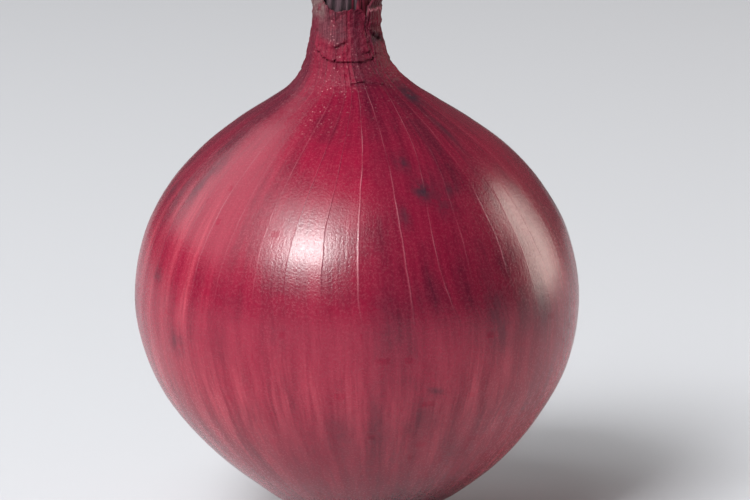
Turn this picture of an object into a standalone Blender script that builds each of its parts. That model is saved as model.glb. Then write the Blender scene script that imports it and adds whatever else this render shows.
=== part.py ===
"""Red onion set: one small bulb in its dry skin, upright on its root plate.

Units are metres, +Z is up, and the origin is the middle of the flat underside of the root plate.
Azimuth is measured from the front (-Y) towards +X.
"""

import math
import random

import bmesh
import bpy
from mathutils import Vector, geometry, noise

MM = 0.001
CREASE_ANGLE = math.radians(50)

# Driving dimensions of the bulb, in millimetres
BULB_DIAMETER = 24.0
VEIN_COUNT = 42
VEIN_RELIEF = 0.07
PLEAT_RELIEF = 0.10
LUMP_RELIEF = 0.16
# Azimuths in degrees of the veins seen from the front, at each of these heights
VEIN_HEIGHTS = (15.0, 20.0, 24.0)
FRONT_VEINS = (
    (-38, -34, -30),
    (-27, -24, -18),
    (-18, -15, -7),
    (-9, -7, -1),
    (1, 2, 6),
    (14, 13, 14),
    (24, 23, 31),
    (32, 31, 36),
    (44, 41, 42),
    (52, 49, 48),
    (60, 55, 54),
    (69, 65, 62),
    (78, 73, 71),
)
# Columns of vertices stand on each vein and at these shares of the way to the next one
COLUMN_SHARES = (0.0, 0.26, 0.74)
COLUMNS = VEIN_COUNT * len(COLUMN_SHARES)

# The skin's outline from the lip round the root plate to the rim of the neck:
# height, radius as a share of the bulb's, and how many rings of faces lead to the next station
OUTLINE = (
    (1.25, 0.292, 1),
    (1.65, 0.339, 1),
    (2.25, 0.434, 2),
    (4.50, 0.667, 2),
    (7.15, 0.850, 2),
    (9.80, 0.958, 2),
    (13.0, 1.000, 2),
    (16.4, 0.950, 2),
    (19.0, 0.838, 2),
    (21.0, 0.692, 2),
    (22.6, 0.521, 2),
    (23.65, 0.383, 2),
    (24.5, 0.279, 4),
    (25.6, 0.200, 5),
    (27.0, 0.164, 3),
    (27.9, 0.148, 2),
    (28.6, 0.154, 0),
)

# Neck: the skin's collar is a short open cup with a torn rim
COLLAR_BORE = 1.25
RIM_CROWN = 0.12
COLLAR_FLOOR_HEIGHT = 26.9
COLLAR_FOOT_HEIGHT = 27.1
RIM_HEIGHT = OUTLINE[-1][0]
NECK_FOOT_HEIGHT = 24.2

# How far the bulb's own axis wanders from the root plate's, as height, x, y
AXIS_WANDER = (
    (1.0, 0.0, 0.0),
    (3.0, 0.10, 0.0),
    (8.0, -0.18, 0.05),
    (13.0, -0.30, 0.08),
    (20.0, -0.38, 0.04),
    (23.6, -0.50, -0.04),
    (26.5, -0.84, -0.10),
    (28.6, -0.88, -0.12),
    (32.5, -0.80, -0.06),
)

# The torn rim: azimuth in degrees, rise above RIM_HEIGHT
RIM_PROFILE = (
    (-180, 0.15),
    (-140, -0.30),
    (-104, 0.60),
    (-74, 1.20),
    (-52, 1.05),
    (-40, 0.35),
    (-18, 0.00),
    (12, 0.10),
    (30, 0.05),
    (35, -0.45),
    (41, 0.25),
    (50, 0.60),
    (66, 0.75),
    (84, 0.45),
    (98, -0.15),
    (130, 0.45),
    (155, 0.30),
    (165, -0.50),
    (180, 0.15),
)

# Folds across the neck: azimuth, half width in degrees, height, depth in millimetres
NECK_FOLDS = (
    (0, 34, 26.00, 0.15),
    (22, 20, 24.75, 0.12),
    (-14, 14, 26.75, 0.09),
    (58, 22, 27.30, 0.14),
    (-75, 26, 25.30, 0.05),
    (105, 30, 25.85, 0.13),
    (150, 24, 26.80, 0.12),
    (185, 34, 25.20, 0.13),
    (230, 26, 26.40, 0.12),
)
FOLD_WIDTH = 0.34

# Root plate: a corky disc in a shallow seat under the bulb, both as height, radius
PLATE_OUTLINE = ((0.0, 2.30), (0.30, 2.68), (0.80, 2.80), (1.20, 2.62), (1.42, 2.20))
SEAT_OUTLINE = ((1.75, 2.55), (1.30, 3.12), (1.12, 3.28))
ROOT_COUNT = 28
ROOT_DIAMETER = 0.34
ROOT_FOOT_RADIUS = 1.7
# Two tiers of roots: how far out they reach, the height they leave the plate at, and that of their tips
UPPER_ROOTS = ((3.5, 4.6), 0.66, (0.28, 0.62))
LOWER_ROOTS = ((2.9, 3.8), 0.34, (0.22, 0.30))

# Dried leaves that stand in the collar
LEAF_FOOT_HEIGHT = 27.2
LEAF_CORE_RADIUS = 0.82
LEAF_STAND = 0.94
LEAF_THICKNESS = 0.60
LEAF_CORE_HEIGHT = 30.2
# Azimuth, half width in degrees, tip height, lean outwards at the tip, twist in degrees
LEAVES = (
    (-28, 52, 31.6, 0.10, 16),
    (62, 50, 31.1, 0.62, -12),
    (-118, 46, 30.9, 0.28, 20),
    (148, 54, 32.1, 0.18, -18),
    (205, 34, 30.4, 0.45, 10),
)

# Linear colours read from the photo; the roots are cut off there, so theirs is the usual straw brown
SKIN_COLOUR = (0.26, 0.010, 0.040)
LEAF_COLOUR = (0.10, 0.055, 0.060)
ROOT_COLOUR = (0.36, 0.25, 0.15)


def clear_scene():
    for obj in list(bpy.data.objects):
        bpy.data.objects.remove(obj)


def new_material(name, colour, roughness):
    """A Principled material in one linear colour."""
    material = bpy.data.materials.new(name)
    material.use_nodes = True
    shader = material.node_tree.nodes["Principled BSDF"]
    shader.inputs["Base Color"].default_value = (*colour, 1.0)
    shader.inputs["Roughness"].default_value = roughness
    return material


def new_object(name, mesh, collection):
    obj = bpy.data.objects.new(name, mesh)
    collection.objects.link(obj)
    return obj


def smooth_step(value):
    value = min(max(value, 0.0), 1.0)
    return value * value * (3 - 2 * value)


def between(stations, position):
    """The values of a table of stations at a position, eased between neighbours."""
    if position <= stations[0][0]:
        return stations[0][1:]
    for low, high in zip(stations, stations[1:]):
        if position <= high[0]:
            share = smooth_step((position - low[0]) / (high[0] - low[0]))
            return tuple(a + (b - a) * share for a, b in zip(low[1:], high[1:]))
    return stations[-1][1:]


def turn_of(azimuth, centre):
    """The signed angle in radians from centre (degrees) to azimuth (radians), the short way."""
    return math.remainder(azimuth - math.radians(centre), math.tau)


def azimuth_of(x, y):
    return math.atan2(x, -y)


def around(azimuth, radius, height):
    """The point at a radius and height in an azimuth, in the bulb's own wandering frame, in millimetres."""
    shift_x, shift_y = between(AXIS_WANDER, height)
    return Vector(
        (
            shift_x + radius * math.sin(azimuth),
            shift_y - radius * math.cos(azimuth),
            height,
        )
    )


def all_veins():
    """The front veins where they were seen, and the rest spread from the last round to the first."""
    draw = random.Random(11)
    first = [azimuth + 360 for azimuth in FRONT_VEINS[0]]
    last = FRONT_VEINS[-1]
    rest = VEIN_COUNT - len(FRONT_VEINS)
    spread = []
    for i in range(1, rest + 1):
        share = (i + draw.uniform(-0.22, 0.22)) / (rest + 1)
        spread.append(tuple(a + (b - a) * share for a, b in zip(last, first)))
    return [*FRONT_VEINS, *spread, first]


VEINS = all_veins()


def vein_azimuth(vein, height):
    """The azimuth of a vein at a height, in degrees."""
    (azimuth,) = between(tuple(zip(VEIN_HEIGHTS, VEINS[vein])), height)
    return azimuth


def column_azimuth(column, height):
    """Where a column of vertices runs at a height, counted from the first vein, in radians."""
    vein, place = divmod(column, len(COLUMN_SHARES))
    here = vein_azimuth(vein, height)
    return math.radians(here + (vein_azimuth(vein + 1, height) - here) * COLUMN_SHARES[place])


def outline_points():
    """The skin's outline as a smooth curve through the stations: points of radius and height."""
    points = [Vector((share * BULB_DIAMETER / 2, height)) for height, share, _ in OUTLINE]
    before = [2 * points[0] - points[1]] + points[:-1]
    after = points[1:] + [2 * points[-1] - points[-2]]
    slopes = [(b - a).normalized() for a, b in zip(before, after)]
    curve = [points[0]]
    for i, (_, _, rings) in enumerate(OUTLINE[:-1]):
        reach = (points[i + 1] - points[i]).length / 3
        handles = (points[i] + slopes[i] * reach, points[i + 1] - slopes[i + 1] * reach)
        piece = geometry.interpolate_bezier(points[i], *handles, points[i + 1], rings + 1)
        curve += [Vector(p[:2]) for p in piece[1:]]
    return curve


def turned_mesh(name, outline, steps):
    """A closed solid of revolution from points of radius and height, bottom to top, in millimetres."""
    rows = [Vector((0, outline[0][1])), *(Vector(p) for p in outline), Vector((0, outline[-1][1]))]
    bm = bmesh.new()
    verts = [bm.verts.new((p.x, 0, p.y)) for p in reversed(rows)]
    for a, b in zip(verts, verts[1:]):
        bm.edges.new((a, b))
    mesh = bpy.data.meshes.new(name)
    bm.to_mesh(mesh)
    bm.free()
    helper = new_object(name, mesh, bpy.context.scene.collection)
    screw = helper.modifiers.new("turn", "SCREW")
    screw.steps = screw.render_steps = steps
    screw.use_merge_vertices = True
    screw.merge_threshold = 0.0001
    screw.use_smooth_shade = True
    turned = bpy.data.meshes.new_from_object(
        helper.evaluated_get(bpy.context.evaluated_depsgraph_get())
    )
    bpy.data.objects.remove(helper)
    return turned


def lump_at(azimuth, height):
    """The slow swells that keep the bulb from being perfectly round."""
    where = Vector((math.sin(azimuth) * 0.9, math.cos(azimuth) * 0.9, height * 0.055))
    return LUMP_RELIEF * noise.noise(where + Vector((3.1, 0.4, 7.7)))


def fold_at(azimuth, height):
    """Folds across the neck: the skin bulges above each line and is pinched in below it."""
    depth = 0.0
    for centre, half_width, level, size in NECK_FOLDS:
        turn = turn_of(azimuth, centre) / math.radians(half_width)
        if abs(turn) < 1:
            rise = (height - level - 0.12 * turn * turn) / FOLD_WIDTH
            depth += size * (1 - turn * turn) * 1.65 * rise * math.exp(-rise * rise)
    return depth


def skin_relief(azimuth, height, on_vein):
    """How far the skin stands out from its outline, in millimetres."""
    body = smooth_step((height - 1.6) / 3.0)
    neck = smooth_step((height - NECK_FOOT_HEIGHT) / 1.2)
    ribs = VEIN_RELIEF * body * (1 - neck) + PLEAT_RELIEF * neck if on_vein else 0.0
    return ribs + body * (1 - 0.75 * neck) * lump_at(azimuth, height) + neck * fold_at(azimuth, height)


def rim_rise(azimuth):
    """The height of the torn rim over RIM_HEIGHT, with small teeth."""
    (rise,) = between(RIM_PROFILE, math.degrees(math.remainder(azimuth, math.tau)))
    return rise + 0.10 * noise.noise(Vector((azimuth * 4.0, 2.7, 0.0)))


def collar_height(azimuth, height):
    """Stretches the collar above its foot so that it ends at the torn rim."""
    if height <= COLLAR_FOOT_HEIGHT:
        return height
    share = (height - COLLAR_FOOT_HEIGHT) / (RIM_HEIGHT - COLLAR_FOOT_HEIGHT)
    return height + share * rim_rise(azimuth)


def make_bulb(collection):
    """The bulb and its dry skin: outer face, torn collar, and the seat of the root plate."""
    outer = outline_points()
    rim = outer[-1].x
    seat = [(radius, height) for height, radius in SEAT_OUTLINE]
    collar = [
        ((rim + COLLAR_BORE) / 2, RIM_HEIGHT + RIM_CROWN),
        (COLLAR_BORE, RIM_HEIGHT),
        (COLLAR_BORE, COLLAR_FOOT_HEIGHT),
        (COLLAR_BORE - 0.05, COLLAR_FLOOR_HEIGHT),
    ]
    mesh = turned_mesh("bulb", seat + [tuple(p) for p in outer] + collar, steps=COLUMNS)
    for vert in mesh.vertices:
        x, y, height = vert.co
        radius = math.hypot(x, y)
        column = round(math.atan2(y, x) / math.tau * COLUMNS) % COLUMNS
        azimuth = column_azimuth(column, height)
        in_collar = height > NECK_FOOT_HEIGHT and radius < COLLAR_BORE + 0.01
        in_seat = height < SEAT_OUTLINE[0][0] + 0.01
        if not (in_collar or in_seat):
            radius += skin_relief(azimuth, height, column % len(COLUMN_SHARES) == 0)
        vert.co = around(azimuth, radius, collar_height(azimuth, height))
    bulb = new_object("bulb", mesh, collection)
    finish(bulb, new_material("dry_skin", SKIN_COLOUR, 0.38))


def bent_sheet(name, columns, rows, place):
    """A thin closed blade: a grid bent by place(across, along), then given its thickness."""
    bm = bmesh.new()
    bmesh.ops.create_grid(bm, x_segments=columns, y_segments=rows, size=1.0)
    for vert in bm.verts:
        vert.co = place(vert.co.x, (vert.co.y + 1) / 2)
    mesh = bpy.data.meshes.new(name)
    bm.to_mesh(mesh)
    bm.free()
    sheet = new_object(name, mesh, bpy.context.scene.collection)
    wall = sheet.modifiers.new("thickness", "SOLIDIFY")
    wall.thickness = LEAF_THICKNESS
    wall.offset = 0.0
    return sheet


def leaf_place(centre, half_width, tip, lean, twist, draw):
    """Where a dried leaf blade lies: rolled round the core, then leaning out to a torn tip."""
    notch = draw.uniform(-0.5, 0.5)

    def place(across, along):
        height = LEAF_FOOT_HEIGHT + 0.25 + (tip - LEAF_FOOT_HEIGHT - 0.25) * along
        height -= along * (0.55 * across * across + 0.45 * math.exp(-(((across - notch) * 4) ** 2)))
        narrowing = 1 - 0.45 * along * along
        azimuth = math.radians(centre + twist * along + half_width * narrowing * across)
        free = smooth_step((height - RIM_HEIGHT - 0.2) / 2.4)
        radius = LEAF_STAND - LEAF_THICKNESS / 2 + lean * free
        return around(azimuth, radius, height)

    return place


def fuse(obj, pieces):
    """Joins the pieces into obj with one Boolean union, and removes them."""
    joined = bpy.data.collections.new("to_join")
    bpy.context.scene.collection.children.link(joined)
    for piece in pieces:
        for holder in list(piece.users_collection):
            holder.objects.unlink(piece)
        joined.objects.link(piece)
    union = obj.modifiers.new("join", "BOOLEAN")
    union.operation = "UNION"
    union.operand_type = "COLLECTION"
    union.collection = joined
    mesh = bpy.data.meshes.new_from_object(
        obj.evaluated_get(bpy.context.evaluated_depsgraph_get())
    )
    obj.modifiers.clear()
    obj.data = mesh
    for piece in pieces:
        bpy.data.objects.remove(piece)
    bpy.data.collections.remove(joined)


def make_neck_leaves(collection):
    """The dried leaf bases in the collar: a pleated core with torn blades rolled round it."""
    top = LEAF_CORE_HEIGHT
    outline = [
        (LEAF_CORE_RADIUS * 0.9, LEAF_FOOT_HEIGHT),
        (LEAF_CORE_RADIUS, LEAF_FOOT_HEIGHT + 0.2),
        (LEAF_CORE_RADIUS, LEAF_FOOT_HEIGHT + 1.2),
        (LEAF_CORE_RADIUS * 0.92, top - 1.0),
        (LEAF_CORE_RADIUS * 0.75, top - 0.3),
        (LEAF_CORE_RADIUS * 0.45, top),
    ]
    mesh = turned_mesh("neck_leaves", outline, steps=28)
    for vert in mesh.vertices:
        x, y, height = vert.co
        azimuth = azimuth_of(x, y) + 0.22 * (height - LEAF_FOOT_HEIGHT)
        pleat = 1 + 0.09 * math.cos(7 * azimuth_of(x, y))
        vert.co = around(azimuth, math.hypot(x, y) * pleat, height)
    core = new_object("neck_leaves", mesh, collection)
    draw = random.Random(5)
    blades = [
        bent_sheet(f"blade_{i}", columns=6, rows=7, place=leaf_place(*leaf, draw))
        for i, leaf in enumerate(LEAVES)
    ]
    fuse(core, blades)
    finish(core, new_material("dried_leaf", LEAF_COLOUR, 0.70))


def root_points(number, draw):
    """A short dried root: out of the plate's side, sagging and curling just above the ground."""
    reach, start, end = LOWER_ROOTS if number % 3 == 2 else UPPER_ROOTS
    azimuth = (number + draw.uniform(-0.3, 0.3)) / ROOT_COUNT * math.tau
    swerve = draw.uniform(-0.35, 0.35)
    length = draw.uniform(*reach) - ROOT_FOOT_RADIUS
    sag = draw.uniform(*end) - start
    points = []
    for share in (0.0, 0.3, 0.55, 0.8, 1.0):
        radius = ROOT_FOOT_RADIUS + length * share
        turn = azimuth + swerve * share * share
        place = (radius * math.sin(turn), -radius * math.cos(turn), start + sag * share * share)
        thickness = 1.0 - 0.55 * share
        points.append((place, thickness))
    return points


def make_root(number, draw):
    """One root as a tapering tube with filled ends."""
    curve = bpy.data.curves.new(f"root_{number}", "CURVE")
    curve.dimensions = "3D"
    curve.bevel_depth = ROOT_DIAMETER / 2
    curve.bevel_resolution = 0
    curve.use_fill_caps = True
    points = root_points(number, draw)
    spline = curve.splines.new("POLY")
    spline.points.add(len(points) - 1)
    for point, (place, thickness) in zip(spline.points, points):
        point.co = (*place, 1.0)
        point.radius = thickness
    tube = new_object(f"root_{number}", curve, bpy.context.scene.collection)
    mesh = bpy.data.meshes.new_from_object(
        tube.evaluated_get(bpy.context.evaluated_depsgraph_get())
    )
    bm = bmesh.new()
    bm.from_mesh(mesh)
    bmesh.ops.remove_doubles(bm, verts=bm.verts, dist=0.0005)
    bm.to_mesh(mesh)
    bm.free()
    bpy.data.objects.remove(tube)
    return new_object(f"root_{number}", mesh, bpy.context.scene.collection)


def make_root_plate(collection):
    """The corky root plate with its ring of dried roots."""
    mesh = turned_mesh("root_plate", [(radius, height) for height, radius in PLATE_OUTLINE], steps=48)
    for vert in mesh.vertices:
        if vert.co.z > 0.01:
            swell = noise.noise(Vector(vert.co) * 1.4 + Vector((5.0, 0.0, 0.0)))
            vert.co.x *= 1 + 0.03 * swell
            vert.co.y *= 1 + 0.03 * swell
    plate = new_object("root_plate", mesh, collection)
    draw = random.Random(23)
    fuse(plate, [make_root(number, draw) for number in range(ROOT_COUNT)])
    finish(plate, new_material("corky_root", ROOT_COLOUR, 0.85))


def finish(obj, material):
    """Turns a mesh modelled in millimetres into metres, smooth with sharp creases, in one material."""
    for vert in obj.data.vertices:
        vert.co = vert.co * MM
    obj.data.shade_smooth()
    obj.data.set_sharp_from_angle(angle=CREASE_ANGLE)
    obj.data.materials.clear()
    obj.data.materials.append(material)


def build():
    clear_scene()
    onion = bpy.data.collections.new("red_onion_set")
    bpy.context.scene.collection.children.link(onion)
    make_bulb(onion)
    make_neck_leaves(onion)
    make_root_plate(onion)


build()
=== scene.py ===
"""A small red onion set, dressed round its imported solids.

Everything is in metres with +Z up, and the origin is the middle of the flat underside of the root plate.
Azimuth is measured from the front (-Y) towards +X.
"""

import math
import random

import bpy
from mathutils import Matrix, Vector, geometry, noise


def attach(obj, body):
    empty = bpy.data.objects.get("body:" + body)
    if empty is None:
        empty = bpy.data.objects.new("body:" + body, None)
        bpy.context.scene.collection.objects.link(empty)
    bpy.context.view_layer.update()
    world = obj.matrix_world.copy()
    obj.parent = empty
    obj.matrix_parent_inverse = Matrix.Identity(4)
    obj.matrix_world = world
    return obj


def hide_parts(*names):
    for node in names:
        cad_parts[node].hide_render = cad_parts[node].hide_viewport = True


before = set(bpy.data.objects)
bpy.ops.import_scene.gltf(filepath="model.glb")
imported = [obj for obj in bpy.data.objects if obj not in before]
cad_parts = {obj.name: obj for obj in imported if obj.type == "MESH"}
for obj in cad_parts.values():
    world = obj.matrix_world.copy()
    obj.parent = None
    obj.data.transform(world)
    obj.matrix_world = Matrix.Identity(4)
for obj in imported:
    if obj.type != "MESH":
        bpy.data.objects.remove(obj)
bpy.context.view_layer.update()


# Outer skin: the onion's last dry scale, one sheet of crimson paper dried tight round the flesh.
# Its veins run from the roots to the neck, where the skin is gathered into pleats, folded across
# and torn off. Under the bulb it tucks in round the root plate.

MM = 0.001
WELD_DISTANCE = 0.002 * MM
SMOOTH_ANGLE = math.radians(60)
BULB_DIAMETER = 24.0
VEIN_COUNT = 42
VEIN_RELIEF = 0.006
PLEAT_RELIEF = 0.04
LUMP_RELIEF = 0.16
HAIRLINE_RELIEF = 0.014

# The veins seen from the front: the azimuth of each in degrees at these three heights in millimetres
VEIN_HEIGHTS = (15.0, 20.0, 24.0)
FRONT_VEINS = (
    (-38, -34, -30),
    (-27, -24, -18),
    (-18, -15, -7),
    (-9, -7, -1),
    (1, 2, 6),
    (14, 13, 14),
    (24, 23, 31),
    (32, 31, 36),
    (44, 41, 42),
    (52, 49, 48),
    (60, 55, 54),
    (69, 65, 62),
    (78, 73, 71),
)
# How strongly each of those veins shows as a light line, its paler colour with a painted glint on its crest,
# and as a dark one, its darker colour with painted shade just beside the crest
FRONT_VEIN_MARKS = (
    (0.15, 0.20),
    (0.22, 0.20),
    (0.10, 0.80),
    (0.10, 0.75),
    (0.48, 0.62),
    (0.30, 0.65),
    (0.22, 0.50),
    (0.15, 0.20),
    (0.36, 0.40),
    (0.30, 0.60),
    (0.15, 0.60),
    (0.30, 0.30),
    (0.25, 0.20),
)
# Columns of vertices stand on each vein and at these shares of the way to the next
COLUMN_SHARES = (0.0, 0.015, 0.034, 0.055, 0.22, 0.50, 0.78, 0.945, 0.966, 0.985)
COLUMNS = VEIN_COUNT * len(COLUMN_SHARES)

# The outline from the lip round the root plate to the rim of the neck:
# height in millimetres, radius as a share of the bulb's
OUTLINE = (
    (1.25, 0.292),
    (1.65, 0.339),
    (2.25, 0.434),
    (4.50, 0.667),
    (7.15, 0.850),
    (9.80, 0.958),
    (13.0, 1.000),
    (16.4, 0.950),
    (19.0, 0.838),
    (21.0, 0.692),
    (22.6, 0.521),
    (23.65, 0.383),
    (24.5, 0.279),
    (25.6, 0.200),
    (27.0, 0.164),
    (27.9, 0.148),
    (28.6, 0.154),
)
CURVE_POINTS_PER_STATION = 60
BODY_RING_STEP = 0.30
NECK_RING_STEP = 0.085
COLLAR_BORE = 1.25
COLLAR_FLOOR_HEIGHT = 26.9
COLLAR_FOOT_HEIGHT = 27.1
COLLAR_PAPER = 0.17
COLLAR_STEPS = 14
RIM_HEIGHT = OUTLINE[-1][0]
NECK_FOOT_HEIGHT = 24.2
NECK_RINGS_HEIGHT = 23.4
CREASED_HEIGHT = 23.8
# The hollow under the bulb that takes the root plate: height and radius in millimetres
SEAT_OUTLINE = ((1.75, 2.55), (1.52, 2.84), (1.30, 3.12), (1.12, 3.28))

# How far the bulb's own axis wanders from the root plate's: height, x, y
AXIS_WANDER = (
    (1.0, 0.0, 0.0),
    (3.0, 0.10, 0.0),
    (8.0, -0.18, 0.05),
    (13.0, -0.30, 0.08),
    (20.0, -0.38, 0.04),
    (23.6, -0.50, -0.04),
    (26.5, -0.84, -0.10),
    (28.6, -0.88, -0.12),
    (32.5, -0.80, -0.06),
)
# The torn rim: azimuth in degrees, rise above RIM_HEIGHT
RIM_PROFILE = (
    (-180, 0.15),
    (-140, -0.30),
    (-104, 0.60),
    (-74, 1.20),
    (-52, 1.05),
    (-40, 0.35),
    (-18, 0.00),
    (12, 0.10),
    (30, 0.05),
    (35, -0.45),
    (41, 0.25),
    (50, 0.60),
    (66, 0.75),
    (84, 0.45),
    (98, -0.15),
    (130, 0.45),
    (155, 0.30),
    (165, -0.50),
    (180, 0.15),
)
# Tucks across the neck: how far each stands out in millimetres, and its line as azimuth, height
NECK_TUCKS = (
    (
        0.085,
        (-60, 26.85),
        (-46, 26.50),
        (-34, 26.16),
        (-20, 26.02),
        (0, 25.95),
        (20, 25.98),
        (34, 26.10),
        (46, 26.35),
    ),
    (0.10, (-6, 24.80), (12, 25.00), (24, 24.92), (50, 24.66)),
    (0.09, (-26, 26.72), (-16, 26.74), (-6, 26.96), (4, 27.08)),
    (0.08, (20, 26.30), (30, 26.42), (40, 26.66)),
    (0.08, (36, 27.80), (50, 27.42), (66, 27.10), (84, 26.80)),
    (0.02, (-101, 25.40), (-75, 25.30), (-49, 25.45)),
    (0.03, (75, 26.00), (105, 25.85), (135, 26.10)),
    (0.11, (126, 26.95), (150, 26.80), (174, 27.00)),
    (0.12, (151, 25.40), (185, 25.20), (219, 25.45)),
    (0.11, (204, 26.60), (230, 26.40), (256, 26.65)),
)
# A tuck fades over these reaches in millimetres: above its line, below it, and in its shade
TUCK_LAP = 0.34
TUCK_UNDERCUT = 0.20
TUCK_SHADE = 0.08
DEEPEST_TUCK_SHADE = 0.30
# Cracks in the collar, painted as dark lines of shade: azimuth, lowest and highest point, half width in
# degrees
COLLAR_CRACKS = (
    (35.2, 27.65, 28.4, 0.9),
    (-31, 27.9, 28.9, 0.9),
    (-18, 28.0, 28.7, 0.8),
    (12, 28.3, 28.8, 0.6),
    (160, 27.4, 28.6, 1.0),
)
# The strip torn off the collar: the azimuth and height of its middle, its half width in degrees
TORN_STRIP = (64, 27.22, 26)
# The loose outer layer right of the crack: its first and last azimuth, the height of its torn edge
FLAP_SIDES = (34, 104)
FLAP_EDGE_HEIGHT = 28.74

# Bruises of the front: azimuth, height, half width in degrees, half height in millimetres, strength
BRUISES = (
    (18, 21.4, 2.4, 0.42, 1.0),
    (22, 20.0, 2.6, 0.40, 1.0),
    (27, 20.3, 5.0, 0.90, 0.35),
    (14.6, 18.9, 1.5, 0.55, 0.70),
    (32, 20.0, 1.3, 0.30, 0.60),
    (28, 19.2, 3.0, 0.60, 0.45),
    (-5.6, 7.4, 4.2, 1.30, 0.42),
    (5.4, 8.7, 2.4, 1.60, 0.50),
    (6.4, 7.3, 2.2, 0.80, 0.44),
    (17.7, 8.3, 2.8, 0.90, 0.44),
    (20.8, 9.8, 1.4, 0.20, 0.70),
    (31, 6.0, 3.0, 0.90, 0.40),
    (55, 8.0, 1.4, 0.25, 0.50),
    (-58, 10.4, 0.7, 0.14, 0.60),
    (38, 13.7, 3.4, 1.70, 0.55),
    (55, 14.0, 3.2, 1.40, 0.52),
    (41, 12.3, 2.2, 0.80, 0.35),
    (6, 14.3, 3.0, 1.20, 0.30),
    (17, 15.0, 2.2, 0.90, 0.30),
    (-33, 14.2, 3.2, 1.00, 0.20),
    (58, 24.4, 9.0, 0.55, 0.80),
    (53, 24.1, 6.0, 0.35, 0.55),
    (54, 27.1, 17.0, 0.30, 0.90),
    (50, 22.6, 2.0, 0.9, 0.55),
    (-59, 19.9, 1.6, 1.10, 0.50),
    (-56, 21.0, 1.5, 0.80, 0.50),
    (-68, 19.0, 1.8, 1.20, 0.42),
)
SEEDED_BRUISES = 34
# A bruise ends at this many half widths and half heights from its middle, where next to none is left
BRUISE_REACH = 2.6

random.seed(17)


def smooth_step(value):
    """Eases from 0 to 1: smooth_step((height - 20) / 3) sets in at 20 mm and is full at 23 mm."""
    value = min(max(value, 0.0), 1.0)
    return value * value * (3 - 2 * value)


def between(stations, position):
    """The values of a table of stations at a position, eased between neighbours."""
    if position <= stations[0][0]:
        return stations[0][1:]
    for low, high in zip(stations, stations[1:]):
        if position <= high[0]:
            share = smooth_step((position - low[0]) / (high[0] - low[0]))
            return tuple(a + (b - a) * share for a, b in zip(low[1:], high[1:]))
    return stations[-1][1:]


def bump_shape(distance, width):
    """A soft bump: 1 at no distance, falling to nothing over a few widths."""
    return math.exp(-((distance / width) ** 2))


def turn_from(azimuth, centre):
    """The signed angle in degrees from centre to azimuth, both in degrees, the short way."""
    return math.remainder(azimuth - centre, 360)


def around(azimuth, radius, height):
    """The point in millimetres at an azimuth, radius and height about the bulb's own wandering axis."""
    shift_x, shift_y = between(AXIS_WANDER, height)
    turn = math.radians(azimuth)
    return Vector((shift_x + radius * math.sin(turn), shift_y - radius * math.cos(turn), height))


def all_veins():
    """The front veins where they were seen, and the rest spread from the last round to the first."""
    draw = random.Random(11)
    first = [azimuth + 360 for azimuth in FRONT_VEINS[0]]
    last = FRONT_VEINS[-1]
    rest = VEIN_COUNT - len(FRONT_VEINS)
    spread = []
    for i in range(1, rest + 1):
        share = (i + draw.uniform(-0.22, 0.22)) / (rest + 1)
        spread.append(tuple(a + (b - a) * share for a, b in zip(last, first)))
    return [*FRONT_VEINS, *spread, first]


VEINS = all_veins()
VEIN_MARKS = list(FRONT_VEIN_MARKS)
while len(VEIN_MARKS) < VEIN_COUNT:
    VEIN_MARKS.append((random.uniform(0.1, 0.8) ** 1.5, random.uniform(0.1, 0.8) ** 1.5))
VEIN_MARKS.append(VEIN_MARKS[0])


def vein_azimuth(vein, height):
    """The azimuth of a vein at a height, in degrees: a parabola through its three points, and wavering."""
    low, middle, high = VEINS[vein]
    a, b, c = VEIN_HEIGHTS
    level = min(max(height, a - 1.5), c + 0.6)
    from_low, from_middle, from_high = level - a, level - b, level - c
    azimuth = (
        low * from_middle * from_high / ((a - b) * (a - c))
        + middle * from_low * from_high / ((b - a) * (b - c))
        + high * from_low * from_middle / ((c - a) * (c - b))
    )
    seat = (vein % VEIN_COUNT) * 7.3
    wavering = noise.noise(Vector((seat, height * 0.45, 1.5)))
    kinks = noise.noise(Vector((seat, height * 1.9, 6.5)))
    return azimuth + 0.5 * wavering + 0.22 * kinks


def outline_curve():
    """The skin's outline as a smooth curve through the stations: many points of radius and height."""
    points = [Vector((share * BULB_DIAMETER / 2, height)) for height, share in OUTLINE]
    before = [2 * points[0] - points[1]] + points[:-1]
    after = points[1:] + [2 * points[-1] - points[-2]]
    slopes = [(b - a).normalized() for a, b in zip(before, after)]
    curve = [points[0]]
    for i in range(len(points) - 1):
        reach = (points[i + 1] - points[i]).length / 3
        handles = (points[i] + slopes[i] * reach, points[i + 1] - slopes[i + 1] * reach)
        piece = geometry.interpolate_bezier(points[i], *handles, points[i + 1], CURVE_POINTS_PER_STATION)
        curve += [Vector(p[:2]) for p in piece[1:]]
    return curve


def evenly_spaced(curve, step_at):
    """Points along a curve whose spacing is step_at(height)."""
    spaced = [curve[0]]
    walked = 0.0
    for a, b in zip(curve, curve[1:]):
        walked += (b - a).length
        if walked >= step_at(b.y):
            spaced.append(b)
            walked = 0.0
    spaced[-1] = curve[-1]
    return spaced


def lump_at(azimuth, height):
    """The slow swells that keep the bulb from being perfectly round."""
    turn = math.radians(azimuth)
    where = Vector((math.sin(turn) * 0.9, math.cos(turn) * 0.9, height * 0.055))
    return LUMP_RELIEF * noise.noise(where + Vector((3.1, 0.4, 7.7)))


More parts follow.
